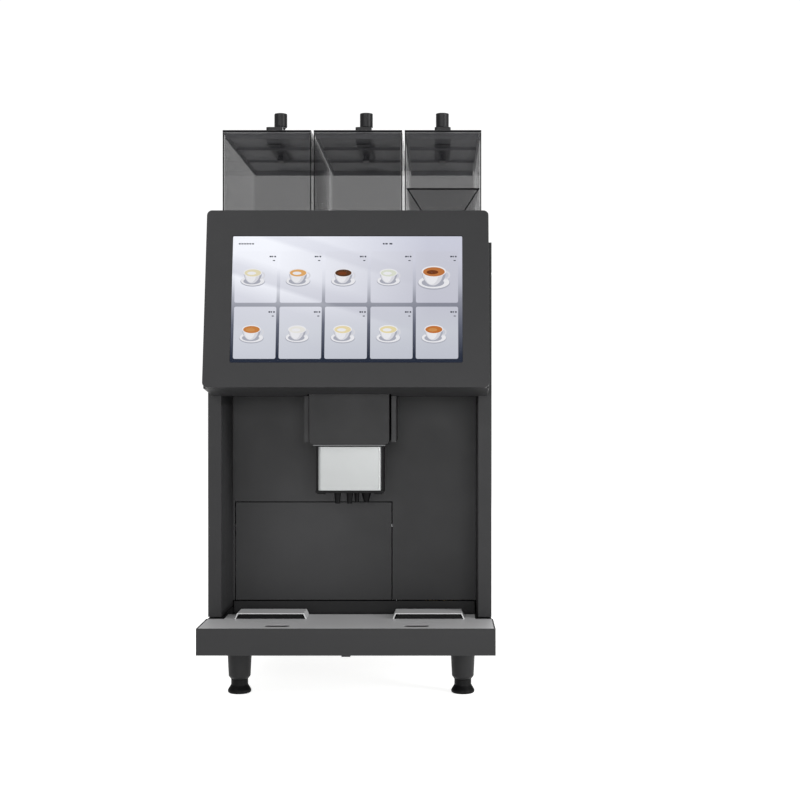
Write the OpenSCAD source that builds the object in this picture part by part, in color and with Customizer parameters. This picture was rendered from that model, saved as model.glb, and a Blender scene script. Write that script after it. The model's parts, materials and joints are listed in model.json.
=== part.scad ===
// Table-top hot coffee vending machine: cabinet on four feet, swing door with a
// tilted touch screen and a height-adjustable spout, grounds drawer, drip tray
// and three lift-off hoppers. +Z is up, the front faces -Y, and the origin is
// at the middle of the footprint on the floor. All sizes are in millimetres.

/* [Overall] */
// Width of the cabinet across its side panels
body_w = 396; // [380:1:480]
// Depth from the drip tray's front to the fittings at the back
overall_d = 500; // [480:1:600]
// Height of the cabinet above its base
body_h = 563; // [545:1:680]
// Height of the base above the floor
leg_h = 74; // [64:1:100]

/* [Sheet metal] */
// Thickness of the outer panels
sheet = 2; // [1.5:0.1:3]
// Thickness of the door's walls
door_wall = 3; // [2:0.1:4]
// Gap between the door and the cabinet
door_gap = 2; // [1.6:0.1:3]

/* [Door] */
// Distance from the tray's front back to the door's front
apron = 85.5; // [70:0.5:100]
// Depth of the door, front to back
door_d = 112.5; // [100:0.5:125]
// Width of each front column
column_w = 18.5; // [16:0.5:24]
// Depth of the cup recess behind the door's front
recess_d = 107.1; // [95:0.1:107.1]
// Radius of the door's hinge pins
hinge_r = 3; // [2.5:0.1:3.5]

/* [Screen head] */
// Height of the head, measured straight up
head_h = 242; // [220:1:270]
// How far the head's top leans back from its bottom
head_lean = 42; // [20:1:50]
// How far the head stands above the cabinet's top
head_rise = 37; // [25:1:45]
// Width of the picture area
display_w = 312; // [260:1:320]
// Height of the picture area
display_h = 176; // [150:1:190]
// Radius of the head's front corners
head_corner = 7; // [3:1:12]

/* [Spout] */
// Width of the sliding spout carriage
carriage_w = 110.6; // [96:0.2:120]
// Depth of the carriage, front to back
carriage_d = 82; // [70:1:90]
// How far the carriage shows below the recess ceiling
carriage_drop = 67.5; // [55:0.5:75]
// How far the spout moves down
spout_travel = 100; // [60:5:105]
// Width of the bright spout cover
cover_w = 87.8; // [76:0.2:92]
// Height of the bright spout cover
cover_h = 61; // [50:1:64]
// Length of the nozzles below the spout
nozzle_h = 16; // [10:1:18]
// Outer radius of a coffee nozzle at its top
nozzle_r = 5; // [4:0.1:6]

/* [Grounds drawer] */
// Height of the drawer's front
drawer_h = 144; // [110:1:146]
// Depth of the grounds bin
bin_d = 200; // [150:1:230]
// Height of the grounds bin's walls
bin_h = 112; // [80:1:116]
// Gap around the drawer's front
drawer_gap = 1.2; // [1:0.1:2]
// Width of the bay for boiler and pump beside the drawer
service_bay = 143; // [130:1:160]

/* [Drip tray] */
// Height of the tray's front
tray_h = 36; // [30:1:44]
// Thickness of the cup plate
plate_t = 1.7; // [1:0.1:2]
// Width of each drain hood
hood_w = 100; // [70:1:106]
// Depth of each drain hood
hood_d = 40; // [25:1:40]
// Height of each drain hood above the plate
hood_h = 8; // [4:0.5:9]
// Distance from the middle to each drain hood's middle
hood_x = 110; // [90:1:112]

/* [Hoppers] */
// Height of the hoppers under their lids
hopper_h = 157.4; // [130:0.2:190]
// Depth of the hoppers, front to back
hopper_d = 329; // [280:1:340]
// Width of the powder hopper
powder_w = 110; // [100:1:124]
// Gap between hoppers
hopper_gap = 3.5; // [2:0.5:6]
// Wall thickness of the hoppers
hopper_wall = 2.5; // [2:0.1:3.5]
// Thickness of the lids
lid_t = 4; // [3:0.5:5]
// Radius of the lids' hinge barrels
barrel_r = 4; // [3.5:0.1:4.5]
// Width of the lock bar on a lid
lock_w = 24; // [20:1:30]
// Length of the lock bar on a lid
lock_l = 156; // [110:1:170]
// Height of the lock bar on a lid
lock_h = 21; // [14:1:24]
// Radius of a lock knob
knob_r = 10; // [8:0.5:12]
// Height of a lock knob
knob_h = 21; // [14:1:26]

/* [Feet] */
// Distance from the middle to each foot, across
foot_x = 158.5; // [130:0.5:165]
// Distance from the tray's front to the front feet
foot_front = 118; // [105:1:130]
// Radius of a foot's pad
pad_r = 16.5; // [14:0.5:22]
// Radius of a foot's threaded stem
stem_r = 6; // [4:0.5:8]

/* [Works] */
// Outer radius of the boiler
boiler_r = 46; // [36:1:50]
// Radius of the brewing chamber
brew_r = 24; // [18:0.5:28]
// Outer radius of a grinder
grinder_r = 38; // [30:1:40]
// Radius of the powder auger
auger_r = 10; // [7:0.5:12]
// Radius of the fan's blades
fan_r = 36; // [28:1:40]

/* [Hidden] */
$fn = 48;
eps = 1;                 // how far a cut runs past what it cuts
run = 0.06;              // radial clearance of a running fit
clear = 0.3;             // gap between neighbours that move apart
over = 2;                // height of the door above what it swings over

// Main planes
half_w = body_w / 2;
front_y = -overall_d / 2;
fitting = 10;            // how far fittings stand out of the back
back_y = overall_d / 2 - fitting;
base_z = leg_h;
top_z = base_z + body_h;
door_y0 = front_y + apron;
door_y1 = door_y0 + door_d;
split_y = door_y1 + door_gap;
recess_y = door_y0 + recess_d;
recess_half = half_w - column_w;
tray_z = base_z + tray_h;

// Door
door_z0 = tray_z + over;
door_z1 = top_z - over;
hinge_x = -half_w + 4;
hinge_y = door_y1 - 6;
door_foot = 9;           // height of the solid foot of each column
door_cap = 4;            // thickness of the door's top plate
panel_t = 3;
sill_z = tray_z + hood_h + clear;
panel_z0 = sill_z + over - clear;

// Head
head_half = half_w - 6;
head_z1 = top_z + head_rise;
head_z0 = head_z1 - head_h;
tilt = atan(head_lean / head_h);
face_h = head_h / cos(tilt);
ceiling_z = head_z0 - 11.4;
bezel_t = 10;
head_wall = 2.5;
glass_t = 3;
glass_gap = 0.2;
display_z = face_h / 2 - 1;
glass_rim = 4;
lcd_t = 9;
head_back = 34;          // how far the head reaches back over the door

// Spout
carriage_y0 = front_y + 68;
carriage_y1 = carriage_y0 + carriage_d;
carriage_z0 = ceiling_z - carriage_drop;
carriage_z1 = carriage_z0 + spout_travel + carriage_drop + 4;
carriage_wall = 3;
guide_in = carriage_w / 2 + 2.7;
guide_t = 6;
guide_y0 = door_y0 + 6;
guide_z0 = carriage_z0 + 3;
rod_r = 4;
rod_x = 30;
rod_y = carriage_y1 + 20;
rod_z1 = carriage_z1 + 30;
lug_w = 16;
lug_h = 30;
lug_z1 = carriage_z1 - 25;
throat = guide_in + guide_t + 1.5;
cover_y0 = carriage_y0 + 11;
cover_d = 60;
cover_wall = 1.5;
lip_t = 3;
base_t = 3.5;
cover_z1 = carriage_z0 - lip_t - 0.2;
cover_z0 = cover_z1 - cover_h;
spout_half = cover_w / 2 + 3.6;
nozzle_y = cover_y0 + 21;
nozzle_gap = 17;
milk_y = nozzle_y + 25;

// Drawer and the bay behind it
drawer_x0 = -recess_half + 4.5;
drawer_x1 = half_w - service_bay;
drawer_t = 3.4;
drawer_z0 = panel_z0;
drawer_z1 = drawer_z0 + drawer_h;
bin_wall = 2.5;
bin_z0 = drawer_z0 + 2;
bin_z1 = bin_z0 + bin_h;
bin_x0 = drawer_x0 + 5;
bin_x1 = drawer_x1 - 5;
bin_y0 = recess_y + drawer_t;
bin_y1 = bin_y0 + bin_d;
lip_w = 4;
rail_h = 4;

// Tray
tray_half = half_w + 2;
tray_y1 = door_y0 - 2.5;
neck_half = recess_half - 2;
neck_y1 = front_y + 124;
pan_t = 3;
pan_half = half_w - sheet;
pan_y0 = front_y + 14;
tray_floor = 2.7;
tray_rim = 2;
tray_ledge = 5;
tray_z0 = base_z + pan_t + clear;
plate_z0 = tray_z - plate_t;
hood_y0 = front_y + 80;
hood_t = 1.2;
deck_z = tray_z - 10;
mark_x = 94;
mark_y = front_y + 22;
mark_r = 7;
mark_l = 34;
mark_deep = 0.8;

// Hoppers
deck_t = 3;
deck_y0 = door_y0 + 46.5;
hopper_z0 = top_z + deck_t + clear;
hopper_z1 = hopper_z0 + hopper_h;
hopper_y0 = front_y + 135;
hopper_y1 = hopper_y0 + hopper_d;
hopper_half = half_w - 12.5;
bean_w = (2 * hopper_half - powder_w - 2 * hopper_gap) / 2;
lid_z0 = hopper_z1 + clear;
lid_z1 = lid_z0 + lid_t;
// Each hopper's low and high edge across: left beans, middle beans, powder
hopper_span = [
    [-hopper_half, -hopper_half + bean_w],
    [-hopper_half + bean_w + hopper_gap, -hopper_half + 2 * bean_w + hopper_gap],
    [hopper_half - powder_w, hopper_half]
];
// Each lock bar's middle, from its hopper's low edge
lock_off = [64, 67, 55];
lock_y0 = hopper_y0 + 82;
knob_y = hopper_y0 + 171;
lock_z1 = lid_z1 + lock_h;
boss_h = 17;             // height of the boss between a lock bar and its knob
knob_z0 = lock_z1 + boss_h;
knob_stem = 4;
barrel_y = hopper_y1 + barrel_r;
barrel_z = lid_z0 + lid_t / 2;
barrel_pin = 1.6;
barrel_l = 24;           // length of a lid's own hinge barrel
ear_l = 10;              // length of each hopper ear beside it
skirt_h = 8;
skirt_t = 1.6;
rib_h = 5;
slope_z = hopper_z0 + 44;
outlet_r = 22;
outlet_y = (hopper_y0 + hopper_y1) / 2 + 60;

// Powder feed
trough_t = 1.5;
trough_x = (hopper_span[2][0] + hopper_span[2][1]) / 2;
auger_z = hopper_z0 + 6 + auger_r;
trough_rim = hopper_z0 + 79;
auger_y0 = hopper_y0 + 24;
auger_y1 = hopper_y1 - 12;
auger_pitch = 22;
wheel_r = 13.5;
wheel_t = 5;
wheel_y = hopper_y0 + 130;
wheel_z = auger_z + auger_r + wheel_r + 1.5;
wheel_teeth = 12;

// Feet
foot_y = [front_y + foot_front, back_y - 44];
neck_r = 12;
sleeve_z0 = 20;
sleeve_r0 = 15.5;
sleeve_r1 = 18;
stem_z1 = 52;

// Works inside the cabinet
wall_x = drawer_x1 + 6;  // partition between brewing side and service bay
frame_t = 2;
shelf_z = drawer_z1 + 12;
loft_z = top_z - 122;
bay_x = (wall_x + frame_t + half_w - sheet) / 2;
brew_x = drawer_x0 + 70;
brew_y = split_y + 75;
brew_z0 = shelf_z + frame_t + 24;
brew_h = 120;
piston_h = 30;
grinder_h = 92;
grinder_y = outlet_y;
mixer_y = split_y + 42;
mixer_z = loft_z - 42;
mixer_r = 20;
boiler_y = split_y + 150;
boiler_z0 = shelf_z - 40;
boiler_h = 200;
pump_y = split_y + 70;
pump_z = base_z + pan_t + 30;
pump_r = 26;
pump_l = 90;
fan_x = -half_w + 70;
fan_z = top_z - 165;
fan_d = 25;
fan_pin = 4;
inlet_x = bay_x;
inlet_z = base_z + 60;
inlet_w = 48;
inlet_h = 27;
switch_z = inlet_z + 42;
switch_w = 20;
switch_h = 26;
rocker_gap = 1.4;        // gap above and below the rocker, which swings into it
valve_x = bay_x - 20;
valve_z = switch_z + 80;
valve_r = 10;
drain_x = -half_w + 110;
drain_r = 9;
lock_y = door_y0 + 53.5;
lock_z = door_z1 - 39;
lock_r = 9.3;

// ---- shapes used by several parts ----

// A box between two corners
module block(x0, x1, y0, y1, z0, z1) {
    translate([x0, y0, z0]) cube([x1 - x0, y1 - y0, z1 - z0]);
}
// Round bars along each axis
module bar_x(y, z, x0, x1, r) {
    translate([x0, y, z]) rotate([0, 90, 0]) cylinder(h = x1 - x0, r = r);
}
module bar_y(x, z, y0, y1, r) {
    translate([x, y1, z]) rotate([90, 0, 0]) cylinder(h = y1 - y0, r = r);
}
module bar_z(x, y, z0, z1, r) {
    translate([x, y, z0]) cylinder(h = z1 - z0, r = r);
}
// A side outline of [y, z] points, carried across from x0 to x1
module across(points, x0, x1) {
    translate([x0, 0, 0]) rotate([90, 0, 90])
        linear_extrude(x1 - x0) polygon(points);
}
// A front outline of [x, z] points, carried back from y0 to y1
module backward(points, y0, y1) {
    translate([0, y1, 0]) rotate([90, 0, 0])
        linear_extrude(y1 - y0) polygon(points);
}
// A rectangle with round corners, in its own plane
module round_rect(w, h, r) {
    square([w - 2 * r, h], center = true);
    square([w, h - 2 * r], center = true);
    for (sx = [-1, 1], sy = [-1, 1])
        translate([sx * (w / 2 - r), sy * (h / 2 - r)]) circle(r = r);
}
// A flat slab with round corners, facing the front
module front_slab(w, h, r, y0, y1) {
    translate([0, y1, 0]) rotate([90, 0, 0])
        linear_extrude(y1 - y0) round_rect(w, h, r);
}
// A row of level slots cut through a wall that faces the back
module vent_rows(x0, x1, z0, rows, y0, y1) {
    for (i = [0 : rows - 1])
        block(x0, x1, y0, y1, z0 + 10 * i, z0 + 10 * i + 4);
}
// Places things on the leaning face: x across, y into the head, z up the face
module on_face() {
    translate([0, front_y, head_z0]) rotate([-tilt, 0, 0]) children();
}
module mirrored_x() {
    children();
    mirror([1, 0, 0]) children();
}

// ---- cabinet ----

module base_frame() {
    color("#2c2c2e") difference() {
        union() {
            block(-pan_half, pan_half, pan_y0, back_y - sheet, base_z, base_z + pan_t);
            // cheeks under the door's columns
            mirrored_x() {
                block(recess_half, half_w, door_y0, split_y, tray_z - 4, tray_z);
                block(half_w - sheet, half_w, door_y0, split_y, base_z, tray_z - 4);
                block(recess_half, recess_half + sheet, door_y0, split_y,
                      base_z + pan_t, tray_z - 4);
                block(recess_half, half_w, door_y0, door_y0 + sheet,
                      base_z + pan_t, tray_z - 4);
            }
            // deck and sill behind the tray
            block(-recess_half, recess_half, neck_y1 + 2, split_y, deck_z - 3, deck_z);
            block(-neck_half, neck_half, recess_y, recess_y + 5, deck_z, sill_z);
            block(-recess_half, recess_half, split_y - sheet, split_y,
                  base_z + pan_t, deck_z - 3);
        }
        bar_z(hinge_x, hinge_y, tray_z - 4 - eps, tray_z + eps, hinge_r);
        bar_z(drain_x, back_y - 40, base_z - eps, base_z + pan_t + eps, drain_r - 3);
    }
    // waste spigot under the pan
    color("#2c2c2e") difference() {
        bar_z(drain_x, back_y - 40, base_z - 22, base_z, drain_r);
        bar_z(drain_x, back_y - 40, base_z - 22 - eps, base_z + eps, drain_r - 3);
    }
}

module leg_sleeves() {
    color("#2a2a2c")
        for (x = [-foot_x, foot_x], y = foot_y)
            translate([x, y, 0]) difference() {
                union() {
                    translate([0, 0, sleeve_z0 + 4])
                        cylinder(h = base_z - sleeve_z0 - 4, r1 = sleeve_r0, r2 = sleeve_r1);
                    translate([0, 0, sleeve_z0])
                        cylinder(h = 4, r1 = neck_r + 0.5, r2 = sleeve_r0);
                }
                translate([0, 0, sleeve_z0 - eps])
                    cylinder(h = stem_z1 + 4 - sleeve_z0 + eps, r = stem_r + run);
            }
}

// A levelling foot: rubber-soled pad, flared neck and threaded stem
module foot(x, y) {
    neck_top = sleeve_z0 - clear;
    color("#1c1c1e") translate([x, y, 0]) rotate_extrude() polygon([
        [0, 0], [pad_r - 1.5, 0], [pad_r, 1.5], [pad_r, 4], [pad_r - 1, 6],
        [neck_r + 1, 10], [neck_r, 12], [neck_r, neck_top], [stem_r, neck_top],
        [stem_r, stem_z1 - 1], [stem_r - 1, stem_z1], [0, stem_z1]
    ]);
}

module side_panel(side) {
    x0 = side < 0 ? -half_w : half_w - sheet;
    color("#3c3c3e") difference() {
        block(x0, x0 + sheet, split_y, back_y, base_z, top_z);
        for (i = [0 : 7])
            block(x0 - eps, x0 + sheet + eps, back_y - 120, back_y - 40,
                  base_z + 50 + 12 * i, base_z + 55 + 12 * i);
        for (i = [0 : 7])
            block(x0 - eps, x0 + sheet + eps, back_y - 120, back_y - 40,
                  top_z - 150 + 12 * i, top_z - 145 + 12 * i);
    }
}

module back_panel() {
    y0 = back_y - sheet;
    color("#3a3a3c") difference() {
        block(-pan_half, pan_half, y0, back_y, base_z + pan_t, top_z);
        bar_y(fan_x, fan_z, y0 - eps, back_y + eps, fan_r + 1);
        block(inlet_x - inlet_w / 2, inlet_x + inlet_w / 2, y0 - eps, back_y + eps,
              inlet_z - inlet_h / 2, inlet_z + inlet_h / 2);
        block(inlet_x - switch_w / 2 - 3, inlet_x + switch_w / 2 + 3, y0 - eps,
              back_y + eps, switch_z - switch_h / 2 - 3, switch_z + switch_h / 2 + 3);
        bar_y(valve_x, valve_z, y0 - eps, back_y + eps, valve_r + 4);
        vent_rows(bay_x - 45, bay_x + 45, top_z - 130, 9, y0 - eps, back_y + eps);
        vent_rows(-half_w + 30, -half_w + 150, base_z + 40, 7, y0 - eps, back_y + eps);
    }
    // guard bars across the fan opening
    color("#3a3a3c") for (i = [-2 : 2])
        block(fan_x + 14 * i - 1, fan_x + 14 * i + 1, y0 + 0.4, back_y - 0.4,
              fan_z - sqrt(pow(fan_r + 1, 2) - pow(14 * i, 2)) - 1,
              fan_z + sqrt(pow(fan_r + 1, 2) - pow(14 * i, 2)) + 1);
}

module top_deck() {
    color("#343436") difference() {
        union() {
            block(-half_w, half_w, deck_y0, back_y, top_z, top_z + deck_t);
            // locating rails between the hoppers
            for (i = [0, 1])
                block(hopper_span[i][1] + 0.9, hopper_span[i + 1][0] - 0.9,
                      hopper_y0 + 10, hopper_y1 - 10, top_z + deck_t, top_z + deck_t + 8);
        }
        bar_z(hinge_x, hinge_y, top_z - eps, top_z + deck_t + eps, hinge_r);
        for (i = [0, 1])
            bar_z((hopper_span[i][0] + hopper_span[i][1]) / 2, outlet_y,
                  top_z - eps, top_z + deck_t + eps, outlet_r);
        bar_z(trough_x, auger_y0 + 14, top_z - eps, top_z + deck_t + eps, outlet_r - 4);
    }
}

module inner_frame() {
    color("#8d9093") {
        difference() {
            block(wall_x, wall_x + frame_t, split_y + 4, back_y - sheet,
                  base_z + pan_t, top_z);
            block(wall_x - eps, wall_x + frame_t + eps, split_y + 60, back_y - 60,
                  shelf_z + 120, loft_z - 30);
        }
        // shelf over the grounds bin, open under the brewer
        difference() {
            block(-pan_half, wall_x, split_y + 4, back_y - sheet, shelf_z, shelf_z + frame_t);
            block(brew_x - 38, brew_x + 38, brew_y - 40, brew_y + 25,
                  shelf_z - eps, shelf_z + frame_t + eps);
        }
        // shelf in the service bay
        block(wall_x + frame_t, pan_half, boiler_y - 70, back_y - sheet,
              boiler_z0 - 2 - frame_t, boiler_z0 - 2);
        // loft that carries the grinders
        difference() {
            block(-pan_half, wall_x, split_y + 4, back_y - sheet, loft_z, loft_z + frame_t);
            for (i = [0, 1])
                bar_z((hopper_span[i][0] + hopper_span[i][1]) / 2, grinder_y,
                      loft_z - eps, loft_z + frame_t + eps, 16);
        }
        // bin rails
        for (x = [bin_x0 - lip_w - 4, bin_x1 + clear + 0.5])
            block(x, x + lip_w + 3.2, split_y + 4, split_y + 4 + bin_d - 10,
                  bin_z1 - 3 - clear - rail_h, bin_z1 - 3 - clear);
        // uprights that carry the rails
        block(-pan_half, bin_x0 - lip_w - 4, split_y + 4, split_y + 12,
              bin_z1 - 14, bin_z1 - 3 - clear);
        block(-pan_half, bin_x0 - lip_w - 4, bin_y1 - 30, bin_y1 - 22,
              bin_z1 - 14, bin_z1 - 3 - clear);
    }
}

module mains_inlet() {
    y1 = back_y + 2;
    color("#151515") difference() {
        union() {
            block(inlet_x - inlet_w / 2 + clear, inlet_x + inlet_w / 2 - clear,
                  back_y - 28, y1 - 1, inlet_z - inlet_h / 2 + clear,
                  inlet_z + inlet_h / 2 - clear);
            block(inlet_x - inlet_w / 2 - 4, inlet_x + inlet_w / 2 + 4,
                  back_y, y1, inlet_z - inlet_h / 2 - 3, inlet_z + inlet_h / 2 + 3);
        }
        block(inlet_x - 12.5, inlet_x + 12.5, back_y - 16, y1 + eps,
              inlet_z - 8.5, inlet_z + 8.5);
    }
    // frame and pin of the power switch above it
    color("#151515") {
        difference() {
            block(inlet_x - switch_w / 2 - 2.7, inlet_x + switch_w / 2 + 2.7, back_y - 16,
                  y1, switch_z - switch_h / 2 - 2.7, switch_z + switch_h / 2 + 2.7);
            block(inlet_x - switch_w / 2 - clear, inlet_x + switch_w / 2 + clear,
                  back_y - 14, y1 + eps, switch_z - switch_h / 2 - rocker_gap,
                  switch_z + switch_h / 2 + rocker_gap);
        }
        bar_x(back_y - 1, switch_z, inlet_x - switch_w / 2 - 1, inlet_x + switch_w / 2 + 1,
              1.5);
    }
    color("silver") for (x = [-7, 0, 7])
        block(inlet_x + x - 1, inlet_x + x + 1, back_y - 16, back_y - 2,
              inlet_z - 2 + (x == 0 ? 3 : -1), inlet_z + 2 + (x == 0 ? 3 : -1));
}

module power_switch() {
    color("#1a1a1a") difference() {
        across([
            [back_y + 2, switch_z - switch_h / 2], [back_y + 4.5, switch_z - switch_h / 2],
            [back_y + 2.5, switch_z], [back_y + 4.5, switch_z + switch_h / 2],
            [back_y + 2, switch_z + switch_h / 2], [back_y - 4, switch_z + 6],
            [back_y - 4, switch_z - 6]
        ], inlet_x - switch_w / 2, inlet_x + switch_w / 2);
        bar_x(back_y - 1, switch_z, inlet_x - switch_w, inlet_x + switch_w, 1.5 + run);
    }
}

module water_inlet() {
    color("#b9bcc0") difference() {
        union() {
            bar_y(valve_x, valve_z, back_y - 40, back_y - sheet - 6, 16);
            bar_y(valve_x, valve_z, back_y - sheet - 6, back_y - sheet, valve_r + 8);
            bar_y(valve_x, valve_z, back_y - sheet, back_y + fitting, valve_r);
        }
        bar_y(valve_x, valve_z, back_y - 20, back_y + fitting + eps, valve_r - 4);
    }
}

module fan_frame() {
    y1 = back_y - sheet;
    y0 = y1 - fan_d;
    side = fan_r + 4;
    color("#222224") {
        difference() {
            block(fan_x - side, fan_x + side, y0, y1, fan_z - side, fan_z + side);
            bar_y(fan_x, fan_z, y0 - eps, y1 + eps, fan_r + 1.5);
        }
        // spokes and the pin that carries the rotor
        for (a = [0 : 90 : 270])
            translate([fan_x, 0, fan_z]) rotate([0, a, 0])
                block(5, fan_r + 3, y0, y0 + 3, -2, 2);
        bar_y(fan_x, fan_z, y0, y0 + 3, 12);
        bar_y(fan_x, fan_z, y0, y1 - 4, fan_pin);
    }
}

module fan_rotor() {
    y1 = back_y - sheet - 3;
    y0 = y1 - fan_d + 8;
    color("#2a2a2c") difference() {
        union() {
            bar_y(fan_x, fan_z, y0, y1, 13);
            for (a = [0 : 45 : 315])
                translate([fan_x, (y0 + y1) / 2, fan_z]) rotate([0, a, 0])
                    translate([12, 0, 0]) rotate([35, 0, 0])
                        translate([0, -7, -1]) cube([fan_r - 12, 14, 2]);
        }
        bar_y(fan_x, fan_z, y0 - eps, y1 + eps, fan_pin + run);
    }
}

module boiler() {
    z1 = boiler_z0 + boiler_h;
    color("#c0c2c4") {
        bar_z(bay_x, boiler_y, boiler_z0, z1, boiler_r);
        bar_z(bay_x, boiler_y, z1, z1 + 6, boiler_r - 12);
        for (a = [40, 140, 260])
            bar_z(bay_x + 22 * cos(a), boiler_y + 22 * sin(a), z1 + 6, z1 + 22, 5);
        for (a = [0 : 90 : 270])
            bar_z(bay_x + (boiler_r - 8) * cos(a), boiler_y + (boiler_r - 8) * sin(a),
                  boiler_z0 - 2, boiler_z0, 5);
    }
}

module water_pump() {
    z_foot = base_z + pan_t;
    color("#8a6a35") {
        bar_y(bay_x, pump_z, pump_y, pump_y + pump_l * 0.6, pump_r);
        bar_y(bay_x, pump_z, pump_y + pump_l * 0.6, pump_y + pump_l, pump_r - 7);
        bar_z(bay_x, pump_y + pump_l * 0.8, pump_z + pump_r - 8, pump_z + pump_r + 14, 5);
        block(bay_x - 22, bay_x + 22, pump_y + 8, pump_y + 44, z_foot, pump_z - 14);
    }
}

module brew_frame() {
    x0 = brew_x - brew_r - 18;
    x1 = brew_x + brew_r + 18;
    z1 = brew_z0 + brew_h;
    color("#303234") {
        difference() {
            union() {
                block(x0, x1, brew_y - brew_r - 8, brew_y + brew_r + 20, brew_z0, brew_z0 + 60);
                block(x0, x1, brew_y + brew_r + 8, brew_y + brew_r + 20, brew_z0 + 60, z1);
                block(x0, x1, brew_y + 2, brew_y + brew_r + 20, z1 - 10, z1);
            }
            bar_z(brew_x, brew_y, brew_z0 - eps, brew_z0 + 60 + eps, brew_r + run);
        }
        // legs down to the shelf
        for (x = [x0, x1 - 8], y = [brew_y - brew_r - 8, brew_y + brew_r + 12])
            block(x, x + 8, y, y + 8, shelf_z + frame_t, brew_z0);
    }
    color("#55585b") bar_z(brew_x, brew_y + brew_r + 50, brew_z0, brew_z0 + 80, 26);
    color("#55585b") block(brew_x - 20, brew_x + 20, brew_y + brew_r + 20,
                           brew_y + brew_r + 30, brew_z0 + 20, brew_z0 + 60);
    color("#55585b") bar_z(brew_x, brew_y + brew_r + 50, shelf_z + frame_t, brew_z0, 10);
}

module brew_piston() {
    z0 = brew_z0 + 60 - piston_h;
    color("#d8d4c8") {
        bar_z(brew_x, brew_y, z0, z0 + piston_h, brew_r);
        bar_z(brew_x, brew_y, z0 - 30, z0, 7);
    }
}

// A bean grinder: motor below, burr housing above and a throat up to the deck
module grinder(i) {
    x = (hopper_span[i][0] + hopper_span[i][1]) / 2;
    z0 = loft_z + frame_t;
    color("#6c6f72") difference() {
        union() {
            bar_z(x, grinder_y, z0, z0 + grinder_h * 0.45, grinder_r - 8);
            bar_z(x, grinder_y, z0 + grinder_h * 0.45, z0 + grinder_h, grinder_r);
            bar_z(x, grinder_y, z0 + grinder_h, top_z - clear, outlet_r - 2);
            block(x - 12, x + 12, grinder_y - grinder_r - 18, grinder_y,
                  z0 + grinder_h * 0.5, z0 + grinder_h * 0.8);
        }
        bar_z(x, grinder_y, z0 + grinder_h * 0.7, top_z + eps, outlet_r - 5);
    }
}

module power_supply() {
    x0 = wall_x + frame_t;
    color("#9a9da0") block(x0, x0 + 40, split_y + 8, split_y + 98,
                           boiler_z0 + 70, boiler_z0 + 150);
}

module control_board() {
    x = wall_x + frame_t;
    color("#1f5a3c") block(x + 4, x + 6, split_y + 150, back_y - 40,
                           loft_z - 20, loft_z + 100);
    color("#222222") for (i = [0 : 2])
        block(x + 6, x + 14, split_y + 165 + 40 * i, split_y + 185 + 40 * i,
              loft_z + 10, loft_z + 40);
    color("silver") for (y = [split_y + 156, back_y - 46], z = [loft_z - 14, loft_z + 94])
        bar_x(y, z, x, x + 4, 3);
}

module mixer_bowl() {
    x = trough_x;
    z0 = mixer_z;
    y1 = mixer_y + 26;
    color("#e3e1da") difference() {
        union() {
            bar_y(x, z0, mixer_y - 18, mixer_y + 12, mixer_r + 3);
            bar_z(x, mixer_y - 4, z0, z0 + 60, mixer_r + 2);
            bar_z(x, mixer_y - 4, z0 + 60, top_z - 12, mixer_r - 3);
            bar_z(x, mixer_y - 10, z0 - mixer_r - 14, z0, 6);
        }
        bar_y(x, z0, mixer_y - 15, mixer_y + 9, mixer_r);
        bar_z(x, mixer_y - 4, z0, z0 + 57, mixer_r - 1);
        bar_z(x, mixer_y - 4, z0 + 50, top_z, mixer_r - 6);
        bar_z(x, mixer_y - 10, z0 - mixer_r - 15, z0, 4);
        bar_y(x, z0, mixer_y, y1, 2 + run);
    }
    // whipper motor on a bracket from the partition
    color("#44474a") difference() {
        union() {
            bar_y(x, z0, mixer_y + 12, y1 + 34, 18);
            block(wall_x + frame_t, x, y1, y1 + 20, z0 - 12, z0 + 12);
        }
        bar_y(x, z0, mixer_y, y1, 2 + run);
    }
}

module mixer_impeller() {
    x = trough_x;
    color("#f0efe9") {
        bar_y(x, mixer_z, mixer_y - 8, mixer_y + 24, 2);
        bar_y(x, mixer_z, mixer_y - 8, mixer_y - 5, mixer_r - 6);
        for (a = [0 : 60 : 300])
            translate([x, 0, mixer_z]) rotate([0, a, 0])
                block(4, mixer_r - 4, mixer_y - 8, mixer_y + 2, -0.8, 0.8);
    }
}

module hinge_pins() {
    color("silver") {
        bar_z(hinge_x, hinge_y, tray_z - 4, door_z0 + door_foot, hinge_r);
        bar_z(hinge_x, hinge_y, door_z1 - door_cap, top_z + deck_t, hinge_r);
    }
}

module panel_screws() {
    color("#77797c")
        for (x = [-pan_half + 10, pan_half - 10], z = [base_z + 12, top_z / 2, top_z - 12])
            bar_y(x, z, back_y, back_y + 1.6, 3.5);
}

// ---- door ----

module door_frame() {
    color("#3d3d3f") difference() {
        block(-half_w, half_w, door_y0, door_y1, door_z0, door_z1);
        // cup recess, closed behind by its own panel
        block(-recess_half, recess_half, door_y0 - eps, door_y1 + eps,
              door_z0 - eps, ceiling_z);
        // hollows of the columns and of the box above the recess
        mirrored_x()
            block(recess_half + door_wall, half_w - door_wall, door_y0 + door_wall,
                  door_y1 + eps, door_z0 + door_foot, door_z1 - door_cap);
        block(-half_w + door_wall, half_w - door_wall, door_y0 + door_wall,
              door_y1 + eps, ceiling_z + door_wall, door_z1 - door_cap);
        // opening for the spout carriage and its guide
        block(-throat, throat, door_y0 - eps, recess_y, ceiling_z - eps, rod_z1 + 4);
        bar_z(hinge_x, hinge_y, door_z0 - eps, door_z0 + door_foot + eps, hinge_r + run);
        bar_z(hinge_x, hinge_y, door_z1 - door_cap - eps, door_z1 + eps, hinge_r + run);
        bar_x(lock_y, lock_z, half_w - door_wall - eps, half_w + eps, lock_r - 1 + run);
    }
}

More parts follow.
